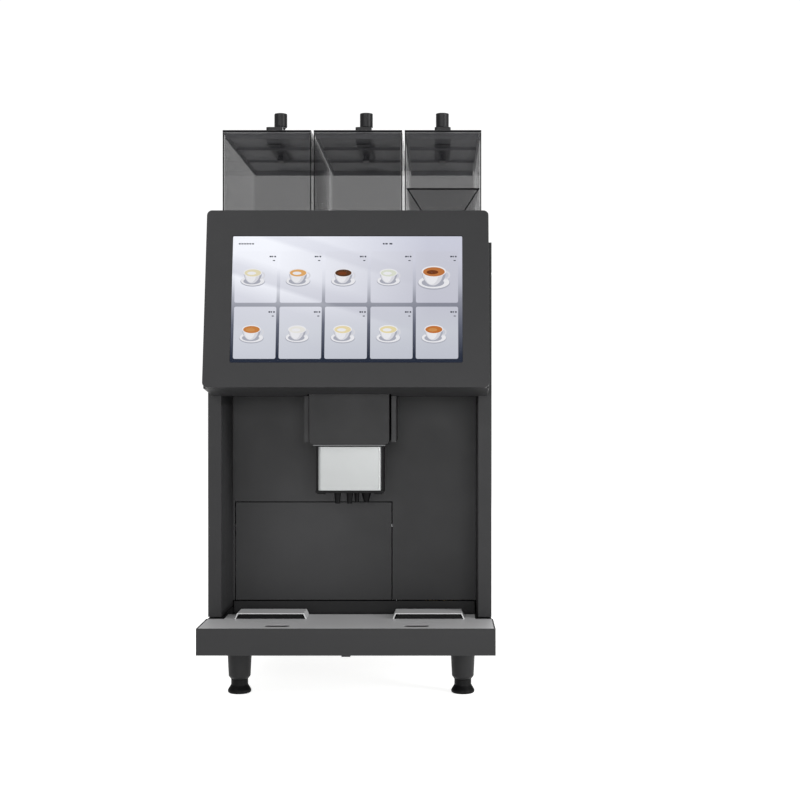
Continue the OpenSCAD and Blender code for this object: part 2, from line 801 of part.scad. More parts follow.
module recess_panel() {
    color("#383839") difference() {
        block(-recess_half, recess_half, recess_y, recess_y + panel_t,
              panel_z0, ceiling_z);
        block(drawer_x0 - drawer_gap, drawer_x1 + drawer_gap, recess_y - eps,
              recess_y + panel_t + eps, panel_z0 - eps, drawer_z1 + drawer_gap);
    }
}

module head_shell() {
    w = head_wall;
    c = cos(tilt);
    s = sin(tilt);
    a = [front_y + bezel_t * c, head_z0 - bezel_t * s];
    b = [front_y + head_lean + bezel_t * c, head_z1 - bezel_t * s];
    top_run = door_y0 + head_back - 8 - b[0];
    back_top = [b[0] + top_run, b[1] - top_run * s / c];
    back_low = [door_y0 + head_back, door_z1];
    color("#3e3e40") difference() {
        across([a, b, back_top, back_low, [door_y0, door_z1], [door_y0, ceiling_z]],
               -head_half, head_half);
        across([
            [a[0] - 2 * w, a[1] + w + 0.6], [b[0] - 2 * w, b[1] - w + 0.4],
            [back_top[0] - w / 2, back_top[1] - w], [back_low[0] - 1.5 * w, back_low[1] + w],
            [door_y0 - w, back_low[1] + w], [door_y0 - w, ceiling_z + w + 0.4]
        ], -head_half + w, head_half - w);
        // opening for the carriage
        block(-guide_in, guide_in, carriage_y0 - 1, door_y0 + eps,
              ceiling_z - 20, carriage_z1 + 4);
        // way through for the cables
        block(-60, 60, door_y0 - w - eps, door_y0 + eps, carriage_z1 + 14, door_z1 - 12);
    }
}

module screen_bezel() {
    color("#3f3f41") on_face() translate([0, 0, face_h / 2]) difference() {
        front_slab(2 * head_half, face_h, head_corner, 0, bezel_t);
        translate([0, 0, display_z - face_h / 2])
            front_slab(display_w, display_h, 2, -eps, bezel_t + eps);
        translate([0, 0, display_z - face_h / 2])
            front_slab(display_w + 2 * glass_rim, display_h + 2 * glass_rim, 3,
                       glass_t / 2, bezel_t + eps);
    }
}

module display_glass() {
    color("#20242c", 0.5) on_face() translate([0, 0, display_z])
        front_slab(display_w + 2 * glass_rim - 2 * glass_gap,
                   display_h + 2 * glass_rim - 2 * glass_gap, 3,
                   glass_t / 2, glass_t / 2 + glass_t);
}

module lcd_panel() {
    y0 = glass_t * 1.5;
    color("#8f93b4") on_face() translate([0, 0, display_z])
        front_slab(display_w + 2 * glass_rim - 1, display_h + 2 * glass_rim - 1, 2.8,
                   y0, y0 + lcd_t);
}

module spout_guide() {
    color("#333335") {
        mirrored_x()
            block(guide_in, guide_in + guide_t, guide_y0, recess_y, guide_z0, ceiling_z);
        block(-guide_in, guide_in, recess_y - 4, recess_y, guide_z0, rod_z1);
        // brackets that hold the rods
        for (z = [guide_z0, rod_z1 - 6])
            block(-rod_x - 8, rod_x + 8, rod_y - 6, recess_y - 4, z, z + 6);
    }
    color("silver") for (x = [-rod_x, rod_x])
        bar_z(x, rod_y, guide_z0, rod_z1, rod_r);
}

module door_lock() {
    arm_l = 60;
    color("silver") difference() {
        union() {
            bar_x(lock_y, lock_z, half_w + 0.2, half_w + 2, lock_r);
            bar_x(lock_y, lock_z, half_w - 22, half_w + 0.2, lock_r - 1);
            // latch arm, hanging down while unlocked
            block(half_w - 22, half_w - 19, lock_y - 7, lock_y + 7, lock_z - arm_l, lock_z);
        }
        block(half_w + 1, half_w + 2 + eps, lock_y - 1, lock_y + 1, lock_z - 5, lock_z + 5);
    }
}

// ---- spout ----

module spout_carriage() {
    hw = carriage_w / 2;
    r = 6;
    t = carriage_wall;
    h = carriage_z1 - carriage_z0;
    color("#3b3b3d") difference() {
        union() {
            difference() {
                translate([0, 0, carriage_z0 + h / 2])
                    front_slab(carriage_w, h, r, carriage_y0, carriage_y1);
                block(-hw + t, hw - t, carriage_y0 + t, carriage_y1 - t,
                      carriage_z0 + t, carriage_z1 + eps);
            }
            for (x = [-rod_x, rod_x])
                block(x - lug_w / 2, x + lug_w / 2, carriage_y1, rod_y + rod_r + 4,
                      lug_z1 - lug_h, lug_z1);
        }
        for (x = [-rod_x, rod_x])
            bar_z(x, rod_y, lug_z1 - lug_h - eps, lug_z1 + eps, rod_r + run);
    }
}

module spout_cover() {
    r = 4;
    t = cover_wall;
    color("#d9dbdb") difference() {
        translate([0, cover_y0 + cover_d / 2, cover_z0])
            linear_extrude(cover_h) round_rect(cover_w, cover_d, r);
        translate([0, cover_y0 + cover_d / 2, cover_z0 - eps])
            linear_extrude(cover_h + 2 * eps) round_rect(cover_w - 2 * t, cover_d - 2 * t, r - t);
        block(-cover_w / 2 - eps, cover_w / 2 + eps, cover_y0 + cover_d - 8,
              cover_y0 + cover_d + eps, cover_z0 - eps, cover_z1 + eps);
    }
}

module spout_head() {
    z_lip = carriage_z0 - lip_t;
    y1 = cover_y0 + cover_d;
    color("#151516") {
        block(-spout_half, spout_half, cover_y0 - 1, y1, z_lip, carriage_z0);
        mirrored_x()
            block(cover_w / 2 + 0.4, spout_half - 0.4, cover_y0 + 5, y1,
                  cover_z0, z_lip);
        block(-spout_half, spout_half, cover_y0 + 1, y1, cover_z0 - base_t, cover_z0);
        mirrored_x()
            block(spout_half - 14, spout_half - 2, cover_y0 + 6, cover_y0 + 14,
                  cover_z0 - base_t - 2, cover_z0 - base_t);
        block(-cover_w / 2 + 12, cover_w / 2 - 12, cover_y0 + 12, y1 - 10, cover_z0, z_lip);
    }
}

// A tapered outlet with a bore, hanging below the spout
module nozzle(x, y, r_top, r_tip) {
    z1 = cover_z0 - base_t;
    translate([x, y, z1 - nozzle_h]) difference() {
        cylinder(h = nozzle_h, r1 = r_tip, r2 = r_top);
        translate([0, 0, -eps]) cylinder(h = nozzle_h - 1, r = r_tip - 1.2);
    }
}

module coffee_nozzles() {
    color("#303134") for (x = [-1 - nozzle_gap, -1]) nozzle(x, nozzle_y, nozzle_r, 3.4);
}

module milk_nozzles() {
    color("#1b1b1d") {
        nozzle(-1 + nozzle_gap / 2, milk_y, 4, 2.8);
        nozzle(-1 + 1.3 * nozzle_gap, milk_y, 8, 3.2);
    }
}

// ---- grounds drawer ----

module drawer_front() {
    color("#3a3a3b") block(drawer_x0, drawer_x1, recess_y, recess_y + drawer_t,
                           drawer_z0, drawer_z1);
}

module grounds_bin() {
    t = bin_wall;
    color("#252527") difference() {
        union() {
            block(bin_x0, bin_x1, bin_y0, bin_y1, bin_z0, bin_z1);
            block(bin_x0 - lip_w, bin_x1 + lip_w, split_y + 1, bin_y1, bin_z1 - 3, bin_z1);
        }
        block(bin_x0 + t, bin_x1 - t, bin_y0 + t, bin_y1 - t, bin_z0 + t, bin_z1 + eps);
    }
}

// ---- drip tray ----

// The tray's T-shaped outline, drawn in by a margin on every side
module tray_slab(inset, z0, z1) {
    block(-tray_half + inset, tray_half - inset, front_y + inset, tray_y1 - inset, z0, z1);
    block(-neck_half + inset, neck_half - inset, front_y + inset, neck_y1 - inset, z0, z1);
}

module drip_tray() {
    skirt = 2.3;
    color("#38383a") {
        difference() {
            union() {
                tray_slab(0, tray_z0, tray_z);
                difference() {
                    block(-tray_half, tray_half, front_y, tray_y1, base_z, tray_z0);
                    block(-tray_half + skirt, tray_half - skirt, pan_y0 - 1, tray_y1 + eps,
                          base_z - eps, tray_z0 + eps);
                }
            }
            tray_slab(tray_ledge, tray_z0 + tray_floor, tray_z + eps);
            tray_slab(tray_rim, plate_z0 - clear, tray_z + eps);
        }
        // finger catch under the front edge
        block(-6, 6, front_y + 2, front_y + 11, base_z - 2, base_z);
    }
}

module drain_hood(x) {
    lean = 3.4;
    y1 = hood_y0 + hood_d;
    color("#9b9da0") difference() {
        backward([
            [x - hood_w / 2, tray_z], [x - hood_w / 2 + lean, tray_z + hood_h],
            [x + hood_w / 2 - lean, tray_z + hood_h], [x + hood_w / 2, tray_z]
        ], hood_y0, y1);
        backward([
            [x - hood_w / 2 + hood_t, tray_z - eps],
            [x - hood_w / 2 + lean + hood_t, tray_z + hood_h - hood_t],
            [x + hood_w / 2 - lean - hood_t, tray_z + hood_h - hood_t],
            [x + hood_w / 2 - hood_t, tray_z - eps]
        ], hood_y0 - eps, y1 - hood_t);
    }
}

module tray_plate() {
    inset = tray_rim + clear;
    color("#8e9092") difference() {
        tray_slab(inset, plate_z0, tray_z);
        // drains under the hoods, and shallow finger marks
        mirrored_x() {
            block(hood_x - hood_w / 2 + 6, hood_x + hood_w / 2 - 6, hood_y0 + 12,
                  min(hood_y0 + hood_d, neck_y1 - inset) - 6, plate_z0 - eps, tray_z + eps);
            translate([mark_x, mark_y, tray_z - mark_deep])
                linear_extrude(mark_deep + eps) round_rect(mark_l, 2 * mark_r, mark_r - 0.1);
        }
    }
    drain_hood(-hood_x);
    drain_hood(hood_x);
}

// ---- hoppers ----

module hopper_shell(i, outlet_x, outlet_mid, hole_r) {
    x0 = hopper_span[i][0];
    x1 = hopper_span[i][1];
    t = hopper_wall;
    mid = (x0 + x1) / 2;
    color("#6d6d70", 0.5) {
        difference() {
            block(x0, x1, hopper_y0, hopper_y1, hopper_z0, hopper_z1);
            block(x0 + t, x1 - t, hopper_y0 + t, hopper_y1 - t, hopper_z0 + t,
                  hopper_z1 + eps);
            bar_z(outlet_x, outlet_mid, hopper_z0 - eps, hopper_z0 + t + eps, hole_r);
        }
        // hinge ears and their pins
        for (s = [-1, 1])
            translate([mid + s * (barrel_l / 2 + clear + ear_l / 2), 0, 0]) {
                bar_x(barrel_y, barrel_z, -ear_l / 2, ear_l / 2, barrel_r);
                block(-ear_l / 2, ear_l / 2, hopper_y1, barrel_y + 1,
                      barrel_z - 14, barrel_z - barrel_r + 1);
            }
        bar_x(barrel_y, barrel_z, mid - barrel_l / 2 - ear_l / 2,
              mid + barrel_l / 2 + ear_l / 2, barrel_pin);
    }
}

module bean_hopper(i) {
    x0 = hopper_span[i][0] + hopper_wall;
    x1 = hopper_span[i][1] - hopper_wall;
    mid = (x0 + x1) / 2;
    low = hopper_z0 + hopper_wall;
    hopper_shell(i, mid, outlet_y, outlet_r - 2);
    // sloping floor plates that feed the beans to the middle
    color("#6d6d70", 0.5) {
        backward([[x0, slope_z], [x0, slope_z - 3], [mid - outlet_r - 3, low],
                  [mid - outlet_r, low]], hopper_y0 + hopper_wall, hopper_y1 - hopper_wall);
        backward([[x1, slope_z], [x1, slope_z - 3], [mid + outlet_r + 3, low],
                  [mid + outlet_r, low]], hopper_y0 + hopper_wall, hopper_y1 - hopper_wall);
    }
}

module hopper_powder() {
    hopper_shell(2, trough_x, auger_y0 + 14, outlet_r - 6);
}

module powder_trough() {
    x0 = hopper_span[2][0] + hopper_wall + clear;
    x1 = hopper_span[2][1] - hopper_wall - clear;
    y0 = hopper_y0 + hopper_wall + clear;
    y1 = hopper_y1 - hopper_wall - clear;
    t = trough_t;
    half_v = auger_r + 2;
    low = auger_z + auger_r / 3;
    bed = hopper_z0 + hopper_wall + clear;
    strut = half_v + (x1 - trough_x - half_v) * (wheel_z - 3 - low) / (trough_rim - low);
    color("#4c4c4f", 0.7) difference() {
        union() {
            // leaning sides and round bed
            backward([[x0, trough_rim], [trough_x - half_v - t, low], [trough_x - half_v, low],
                      [x0 + 2 * t, trough_rim]], y0, y1);
            backward([[x1, trough_rim], [trough_x + half_v + t, low], [trough_x + half_v, low],
                      [x1 - 2 * t, trough_rim]], y0, y1);
            difference() {
                block(trough_x - half_v - t, trough_x + half_v + t, y0, y1, bed, low);
                bar_y(trough_x, auger_z, y0 - eps, y1 + eps, half_v - 0.4);
                block(trough_x - half_v + 0.4, trough_x + half_v - 0.4, y0 - eps, y1 + eps,
                      auger_z, low + eps);
            }
            // end walls
            for (y = [y0, y1 - t])
                backward([[x0, trough_rim], [trough_x - half_v - t, low],
                          [trough_x - half_v - t, bed], [trough_x + half_v + t, bed],
                          [trough_x + half_v + t, low], [x1, trough_rim]], y, y + t);
            // rim
            block(x0, x1, y0, y0 + 4, trough_rim - 2, trough_rim);
            // posts for the agitator's axle
            for (s = [-1, 1])
                block(trough_x + s * 9 - 1.5, trough_x + s * 9 + 1.5, wheel_y - 4, wheel_y + 4,
                      wheel_z - 5, wheel_z + 4);
            for (s = [-1, 1])
                bar_x(wheel_y, wheel_z - 3, min(trough_x + s * 9, trough_x + s * strut),
                      max(trough_x + s * 9, trough_x + s * strut), 2);
        }
        bar_y(trough_x, auger_z, y1 - t - eps, y1 + eps, 3 + run);
        bar_y(trough_x, auger_z, y0 - eps, y0 + t + eps, 3 + run);
        bar_x(wheel_y, wheel_z, trough_x - 11, trough_x + 11, 1.5 + run);
        bar_z(trough_x, auger_y0 + 14, hopper_z0, auger_z, 9);
    }
}

module powder_auger() {
    core = 3;
    flights = floor((auger_y1 - auger_y0) / auger_pitch);
    lean = atan(auger_pitch / (4 * auger_r));
    color("#e8e6df") {
        bar_y(trough_x, auger_z, hopper_y0 + hopper_wall + 2 * clear,
              hopper_y1 - hopper_wall - 2 * clear, core);
        // the screw, as leaning discs one pitch apart
        for (i = [0 : flights - 1])
            translate([trough_x, auger_y0 + auger_pitch * (i + 0.5), auger_z])
                rotate([90 - lean, 0, 0])
                    translate([0, 0, -0.8]) cylinder(h = 1.6, r = auger_r);
    }
}

module agitator_wheel() {
    color("#e8e6df") translate([trough_x, wheel_y, wheel_z]) rotate([0, 90, 0]) {
        translate([0, 0, -wheel_t / 2]) cylinder(h = wheel_t, r = wheel_r - 3);
        for (i = [0 : wheel_teeth - 1])
            rotate([0, 0, 360 * i / wheel_teeth])
                translate([wheel_r - 4, -1.2, -wheel_t / 2]) cube([4, 2.4, wheel_t]);
        translate([0, 0, -10]) cylinder(h = 20, r = 1.5);
    }
}

module lid(i) {
    x0 = hopper_span[i][0];
    x1 = hopper_span[i][1];
    mid = (x0 + x1) / 2;
    in0 = x0 + hopper_wall + 1;
    in1 = x1 - hopper_wall - 1;
    iy0 = hopper_y0 + hopper_wall + 1;
    iy1 = hopper_y1 - hopper_wall - 4;
    t = skirt_t;
    kx = x0 + lock_off[i];
    color("#4a4a4d", 0.7) difference() {
        union() {
            block(x0, x1, hopper_y0, hopper_y1 - 1, lid_z0, lid_z1);
            // skirt inside the hopper's rim, and stiffening ribs
            difference() {
                block(in0, in1, iy0, iy1, lid_z0 - skirt_h, lid_z0);
                block(in0 + t, in1 - t, iy0 + t, iy1 - t, lid_z0 - skirt_h - eps, lid_z0);
            }
            for (f = [1 / 3, 2 / 3])
                block(in0 + t, in1 - t, iy0 + (iy1 - iy0) * f - 2, iy0 + (iy1 - iy0) * f + 2,
                      lid_z0 - rib_h, lid_z0);
            // hinge barrel
            bar_x(barrel_y, barrel_z, mid - barrel_l / 2, mid + barrel_l / 2, barrel_r);
            block(mid - barrel_l / 2, mid + barrel_l / 2, hopper_y1 - 2, barrel_y,
                  lid_z0, lid_z1);
        }
        bar_x(barrel_y, barrel_z, mid - barrel_l, mid + barrel_l, barrel_pin + run);
        bar_z(kx, knob_y, lid_z0 - skirt_h, lid_z1 + eps, knob_stem + run);
    }
}

// A lock bar screwed to a lid, with a boss for the knob's stem
module lock_bar(i) {
    kx = hopper_span[i][0] + lock_off[i];
    r = 4;
    color("#3a3a3c") difference() {
        union() {
            translate([kx, lock_y0 + lock_l / 2, lid_z1])
                linear_extrude(lock_h) round_rect(lock_w, lock_l, r);
            bar_z(kx, knob_y, lock_z1, knob_z0 - clear, 7);
        }
        bar_z(kx, knob_y, lid_z1 - eps, knob_z0 + eps, knob_stem + run);
    }
}

// A knob on its stem, with a latch tongue under the lid
module knob(i) {
    kx = hopper_span[i][0] + lock_off[i];
    color("#303032") {
        bar_z(kx, knob_y, knob_z0, knob_z0 + knob_h, knob_r);
        bar_z(kx, knob_y, lid_z0 - 8, knob_z0, knob_stem);
        block(kx - 5, kx + 5, knob_y - 8, knob_y + 22, lid_z0 - 11, lid_z0 - 8);
    }
}

base_frame();
leg_sleeves();
side_panel(-1);  // side_panel_left
side_panel(1);  // side_panel_right
back_panel();
top_deck();
inner_frame();
mains_inlet();
water_inlet();
fan_frame();
boiler();
water_pump();
brew_frame();
grinder(0);  // grinder_left
grinder(1);  // grinder_right
power_supply();
control_board();
mixer_bowl();
hinge_pins();
panel_screws();
power_switch();
fan_rotor();
brew_piston();
mixer_impeller();
foot(-foot_x, foot_y[0]);  // foot_front_left
foot(foot_x, foot_y[0]);  // foot_front_right
foot(-foot_x, foot_y[1]);  // foot_back_left
foot(foot_x, foot_y[1]);  // foot_back_right
door_frame();
recess_panel();
head_shell();
screen_bezel();
display_glass();
lcd_panel();
spout_guide();
door_lock();
spout_carriage();
spout_cover();
spout_head();
coffee_nozzles();
milk_nozzles();
drawer_front();
grounds_bin();
drip_tray();
tray_plate();
bean_hopper(0);  // hopper_left
bean_hopper(1);  // hopper_middle
hopper_powder();
powder_trough();
powder_auger();
agitator_wheel();
lid(0);  // lid_left
lid(1);  // lid_middle
lid(2);  // lid_powder
lock_bar(0);  // lock_bar_left
lock_bar(1);  // lock_bar_middle
lock_bar(2);  // lock_bar_powder
knob(0);  // knob_left
knob(1);  // knob_middle
knob(2);  // knob_powder
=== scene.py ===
"""Looks of the hot coffee vending machine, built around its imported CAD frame."""
import json
import math

import bmesh
import bpy
from mathutils import Matrix, Vector


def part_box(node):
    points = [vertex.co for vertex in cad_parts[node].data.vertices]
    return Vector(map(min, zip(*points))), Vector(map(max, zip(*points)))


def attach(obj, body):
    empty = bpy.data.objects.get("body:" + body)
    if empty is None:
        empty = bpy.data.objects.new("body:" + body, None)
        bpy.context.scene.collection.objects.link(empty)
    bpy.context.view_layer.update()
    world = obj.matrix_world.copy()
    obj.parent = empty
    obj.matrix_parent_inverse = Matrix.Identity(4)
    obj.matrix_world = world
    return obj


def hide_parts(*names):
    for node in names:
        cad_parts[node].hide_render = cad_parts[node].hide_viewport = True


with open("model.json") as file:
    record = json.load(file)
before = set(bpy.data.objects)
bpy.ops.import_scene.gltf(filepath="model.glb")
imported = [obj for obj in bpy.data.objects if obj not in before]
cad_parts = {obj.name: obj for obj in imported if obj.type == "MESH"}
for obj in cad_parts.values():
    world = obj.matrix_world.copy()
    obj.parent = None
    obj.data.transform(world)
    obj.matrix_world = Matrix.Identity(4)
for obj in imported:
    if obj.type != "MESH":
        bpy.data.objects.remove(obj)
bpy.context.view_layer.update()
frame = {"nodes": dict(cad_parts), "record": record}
NODES = frame["nodes"]
MM = 0.001
HOPPERS = ("left", "middle", "powder")
# Edges that bend more than this many degrees are rounded over
SHARP_ANGLE = 30

# ---------------------------------------------------------------- camera
# The lens looks level along +Y from right of the middle, at mid height.
CAMERA_PLACE = (0.119, -2.05, 0.415)
CAMERA_LENS = 60.75
CAMERA_SHIFT = -0.04375


def make_camera():
    data = bpy.data.cameras.new("camera")
    data.lens = CAMERA_LENS
    data.sensor_width = 36.0
    data.shift_x = CAMERA_SHIFT
    data.clip_end = 50.0
    camera = bpy.data.objects.new("camera", data)
    camera.location = CAMERA_PLACE
    camera.rotation_euler = (math.radians(90), 0, 0)
    bpy.context.scene.collection.objects.link(camera)
    bpy.context.scene.camera = camera


# ---------------------------------------------------------------- materials
class Nodes:
    """A short way to build one material's node tree."""

    def __init__(self, name):
        self.material = bpy.data.materials.new(name)
        self.material.use_nodes = True
        self.tree = self.material.node_tree
        self.shader = self.tree.nodes["Principled BSDF"]

    def add(self, kind, **values):
        made = self.tree.nodes.new(kind)
        for key, value in values.items():
            if hasattr(made, key):
                setattr(made, key, value)
            else:
                made.inputs[key.replace("_", " ")].default_value = value
        return made

    def link(self, source, target):
        self.tree.links.new(source, target)

    def set(self, **values):
        for key, value in values.items():
            self.shader.inputs[key.replace("_", " ")].default_value = value

    def place(self, stretch=(1, 1, 1)):
        """Object coordinates, stretched along chosen axes."""
        coordinates = self.add("ShaderNodeTexCoord")
        mapping = self.add("ShaderNodeMapping")
        mapping.inputs["Scale"].default_value = stretch
        self.link(coordinates.outputs["Object"], mapping.inputs["Vector"])
        return mapping.outputs["Vector"]

    def noise(self, scale, detail=4.0, stretch=(1, 1, 1)):
        texture = self.add("ShaderNodeTexNoise", Scale=scale, Detail=detail)
        self.link(self.place(stretch), texture.inputs["Vector"])
        return texture.outputs["Fac"]

    def ramp(self, factor, stops):
        ramp = self.add("ShaderNodeValToRGB")
        elements = ramp.color_ramp.elements
        while len(elements) < len(stops):
            elements.new(0.5)
        for element, (position, color) in zip(elements, stops):
            element.position = position
            element.color = (*color, 1) if len(color) == 3 else color
        self.link(factor, ramp.inputs["Fac"])
        return ramp.outputs["Color"]

    def bump(self, height, strength, distance):
        bump = self.add("ShaderNodeBump", Strength=strength, Distance=distance)
        self.link(height, bump.inputs["Height"])
        self.link(bump.outputs["Normal"], self.shader.inputs["Normal"])

    def times(self, value, factor):
        """The product of a socket and a number or another socket."""
        product = self.add("ShaderNodeMath", operation="MULTIPLY")
        self.link(value, product.inputs[0])
        if isinstance(factor, float):
            product.inputs[1].default_value = factor
        else:
            self.link(factor, product.inputs[1])
        return product.outputs[0]

    def vary_color(self, color, spread, scale):
        """The colour drifts a little over the surface."""
        low = [c * (1 - spread) for c in color]
        high = [c * (1 + spread) for c in color]
        self.link(self.ramp(self.noise(scale), [(0.3, low), (0.7, high)]),
                  self.shader.inputs["Base Color"])

    def vary_rough(self, rough, spread, scale, stretch=(1, 1, 1)):
        low, high = max(rough - spread, 0.02), min(rough + spread, 1)
        value = self.ramp(self.noise(scale, 3.0, stretch),
                          [(0.3, [low] * 3), (0.7, [high] * 3)])
        self.link(value, self.shader.inputs["Roughness"])


def coated(name, color, rough=0.42, grain=2600, strength=0.12, specular=0.2):
    """Powder coat or moulded plastic: fine grain, soft drift of colour and gloss."""
    n = Nodes(name)
    n.set(Specular_IOR_Level=specular)
    n.vary_color(color, 0.03, 14)
    n.vary_rough(rough, 0.03, 30)
    n.bump(n.noise(grain, 2.0), strength, 0.0002)
    return n.material


def brushed(name, color, rough, along, scale=900):
    """Brushed metal, its scratches along one axis."""
    n = Nodes(name)
    stretch = [1.0, 1.0, 1.0]
    stretch[along] = 0.02
    n.set(Metallic=1.0)
    n.vary_color(color, 0.08, 9)
    n.vary_rough(rough, 0.08, scale, stretch)
    n.bump(n.noise(scale, 3.0, stretch), 0.08, 0.0001)
    return n.material


def bright(name):
    """Polished plated metal."""
    n = Nodes(name)
    n.set(Metallic=1.0)
    n.vary_color((0.75, 0.76, 0.78), 0.03, 40)
    n.vary_rough(0.14, 0.04, 300)
    return n.material


def lacquered(name, color):
    """Silver paint under a clear coat."""
    n = Nodes(name)
    n.set(Metallic=0.2, Roughness=0.3, Specular_IOR_Level=0.5, Coat_Weight=0.3,
          Coat_Roughness=0.08)
    n.vary_color(color, 0.015, 40)
    n.bump(n.noise(5200, 2.0), 0.03, 0.0001)
    return n.material


def smoked(name, color, alpha, rough=0.08):
    """Clear smoked plastic seen as a tinted film on both faces."""
    n = Nodes(name)
    n.set(Alpha=alpha, Specular_IOR_Level=0.02)
    n.vary_color(color, 0.04, 8)
    n.vary_rough(rough, 0.03, 60)
    return n.material


def lit(name, color):
    """A patch of the lit picture."""
    n = Nodes(name)
    n.set(Roughness=0.6, Specular_IOR_Level=0.0, Emission_Strength=1.0,
          Base_Color=(0, 0, 0, 1))
    low = [c * 0.98 for c in color]
    n.link(n.ramp(n.noise(60), [(0.35, low), (0.65, color)]),
           n.shader.inputs["Emission Color"])
    return n.material


def srgb(*levels):
    """Screen levels from 0 to 255 as linear light."""
    out = []
    for level in levels:
        v = level / 255
        out.append(v / 12.92 if v <= 0.04045 else ((v + 0.055) / 1.055) ** 2.4)
    return out


# ---------------------------------------------------------------- meshes
def new_piece(name, mesh, material, body, slot, *stands_for):
    piece = bpy.data.objects.new(name, mesh)
    bpy.context.scene.collection.objects.link(piece)
    for one in material if isinstance(material, list) else [material]:
        mesh.materials.append(one)
    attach(piece, body)
    if stands_for:
        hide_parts(*stands_for)
    return piece


def mesh_from(name, bm, smooth_angle=40):
    bmesh.ops.recalc_face_normals(bm, faces=bm.faces)
    mesh = bpy.data.meshes.new(name)
    for face in bm.faces:
        face.smooth = True
    bm.to_mesh(mesh)
    bm.free()
    mesh.set_sharp_from_angle(angle=math.radians(smooth_angle))
    return mesh


def softened(node, width_mm):
    """A copy of a CAD node's shape with its hard edges rounded over."""
    bm = bmesh.new()
    bm.from_mesh(NODES[node].data)
    bmesh.ops.remove_doubles(bm, verts=bm.verts, dist=1e-5)
    bmesh.ops.dissolve_limit(bm, angle_limit=math.radians(1.5), verts=bm.verts,
                             edges=bm.edges)
    sharp = [e for e in bm.edges if len(e.link_faces) == 2
             and e.calc_face_angle(0) > math.radians(SHARP_ANGLE)]
    bmesh.ops.bevel(bm, geom=sharp, offset=width_mm * MM, segments=2,
                    profile=0.6, affect="EDGES", clamp_overlap=True)
    bmesh.ops.triangulate(bm, faces=[f for f in bm.faces if len(f.verts) > 4])
    return mesh_from(node + "_shape", bm)


def add_box(bm, low, high):
    """Adds a box between two corners, in metres."""
    corners = [Vector((x, y, z)) for x in (low[0], high[0]) for y in (low[1], high[1])
               for z in (low[2], high[2])]
    v = [bm.verts.new(c) for c in corners]
    for a, b, c, d in ((0, 1, 3, 2), (4, 6, 7, 5), (0, 4, 5, 1),
                       (2, 3, 7, 6), (0, 2, 6, 4), (1, 5, 7, 3)):
        bm.faces.new((v[a], v[b], v[c], v[d]))


def close_prism(bm, first, last):
    """Faces for a prism between two rings of as many corners."""
    bm.faces.new(first)
    bm.faces.new(last[::-1])
    for i, corner in enumerate(first):
        j = (i + 1) % len(first)
        bm.faces.new((first[j], corner, last[i], last[j]))


def lathe(profile, centre, steps=48, backward=False):
    """Turns (radius, height) points in millimetres about Z, or about Y for backward."""
    bm = bmesh.new()
    rings = []
    for radius, height in profile:
        ring = []
        for i in range(steps):
            a = 2 * math.pi * i / steps
            ring.append(bm.verts.new((radius * MM * math.cos(a), radius * MM * math.sin(a),
                                      height * MM)))
        rings.append(ring)
    for low, high in zip(rings, rings[1:]):
        for i in range(steps):
            j = (i + 1) % steps
            bm.faces.new((low[i], low[j], high[j], high[i]))
    for ring in (rings[0], rings[-1]):
        bm.faces.new(ring)
    turn = Matrix.Rotation(math.radians(-90 if backward else 0), 4, "X")
    bm.transform(Matrix.Translation(centre) @ turn)
    return bm


# ---------------------------------------------------------------- materials in use
charcoal = coated("charcoal_steel", srgb(33, 33, 34), 0.5)
charcoal_head = coated("charcoal_head", srgb(37, 37, 38), 0.46)
carriage_skin = coated("carriage_skin", srgb(26, 26, 27), 0.46)
recess_skin = coated("recess_skin", srgb(47, 47, 48), 0.5)
tray_skin = coated("tray_skin", srgb(34, 34, 35), 0.45)
black_frame = coated("black_frame", srgb(28, 28, 29), 0.5)
black_part = coated("black_part", srgb(10, 10, 11), 0.35, specular=0.08)
knob_skin = coated("knob_skin", srgb(34, 34, 35), 0.38)
rubber = coated("foot_rubber_skin", srgb(12, 12, 13), 0.5, 1800, 0.2, 0.1)
grey_plate = coated("grey_plate", srgb(188, 188, 189), 0.4, 1400, 0.06, 0.4)
inner_metal = brushed("inner_metal", (0.48, 0.49, 0.5), 0.36, 2)
motor_metal = coated("motor_paint", (0.16, 0.17, 0.18), 0.4)
brass = brushed("brass_turned", (0.55, 0.42, 0.2), 0.25, 1)
chrome = bright("chrome_parts")
white_part = coated("white_moulding", (0.72, 0.7, 0.66), 0.4, 2200, 0.08, 0.5)
board = coated("board_mask", (0.02, 0.13, 0.06), 0.3, 700, 0.25, 0.5)
hopper_clear = smoked("hopper_clear", srgb(34, 34, 36), 0.385)
# The lids' copy of the smoked plastic is more opaque and much lighter than the hoppers'; the
# lighter grey is painted light, standing in for light on the lid's underside.
lid_clear_lit = smoked("lid_clear_lit", srgb(142, 142, 145), 0.74, 0.2)
trough_clear = smoked("trough_clear", srgb(34, 34, 36), 0.3, 0.2)
edge_dark = smoked("edge_dark", srgb(14, 14, 15), 0.86, 0.2)
silver = lacquered("silver_lacquer", srgb(138, 140, 140))
lip_metal = coated("lip_metal", srgb(92, 93, 94), 0.4)

